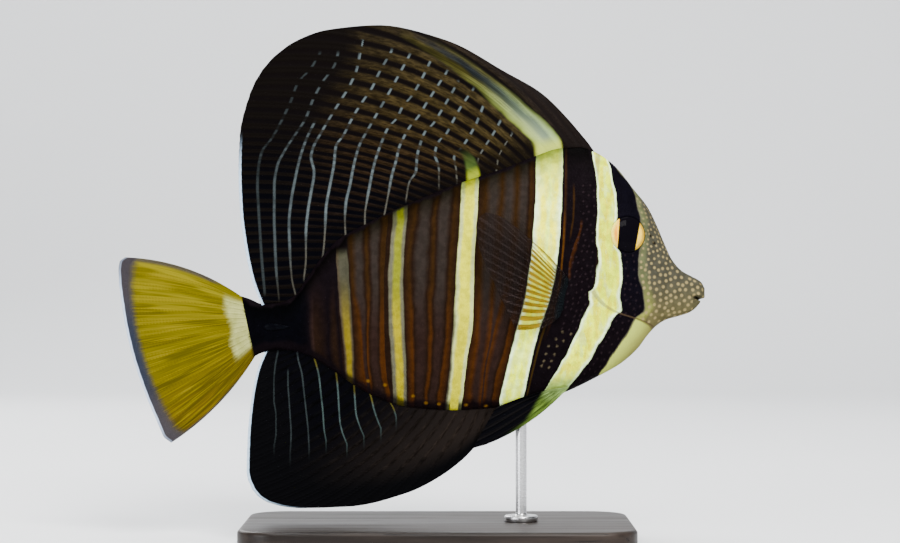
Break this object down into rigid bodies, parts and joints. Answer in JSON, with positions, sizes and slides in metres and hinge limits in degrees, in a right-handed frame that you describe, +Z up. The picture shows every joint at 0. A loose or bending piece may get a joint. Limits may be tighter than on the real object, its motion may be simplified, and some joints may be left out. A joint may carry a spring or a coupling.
{
  "type": "sailfin tang model on a display stand",
  "caption": "Life-size still model of a sailfin tang with raised dorsal and anal fins, held level by one rod on a flat base.",
  "frame": {"origin": "middle of the underside of the model's box, at the level of the stand's foot", "axes": "+X to the fish's snout, +Y to its left side, +Z up"},
  "size_m": [0.212, 0.0798, 0.1868],
  "materials": {
    "skin": "scaled skin, dark brown with yellow bars, thin clear slime gloss",
    "dark_fin": "thin rayed fin, black-brown with pale lines",
    "clear_fin": "thin clear fin with dark rays",
    "yellow_fin": "thin rayed fin, yellow with a pale edge",
    "eye": "wet, dark pupil in a pale gold iris",
    "spine": "blue-black horn",
    "stand_wood": "black satin stain",
    "stand_steel": "satin"
  },
  "bodies": {
    "root": {"head": "skin", "lower_jaw": "skin", "torso": "skin", "tail_stalk": "skin", "dorsal_fin": "dark_fin", "anal_fin": "dark_fin", "pelvic_fin_right": "dark_fin", "pelvic_fin_left": "dark_fin", "pectoral_fin_right": "clear_fin", "pectoral_fin_left": "clear_fin", "tail_fin": "yellow_fin", "eye_right": "eye", "eye_left": "eye", "tail_spine_right": "spine", "tail_spine_left": "spine", "stand_base": "stand_wood", "stand_rod": "stand_steel"}
  },
  "joints": []
}
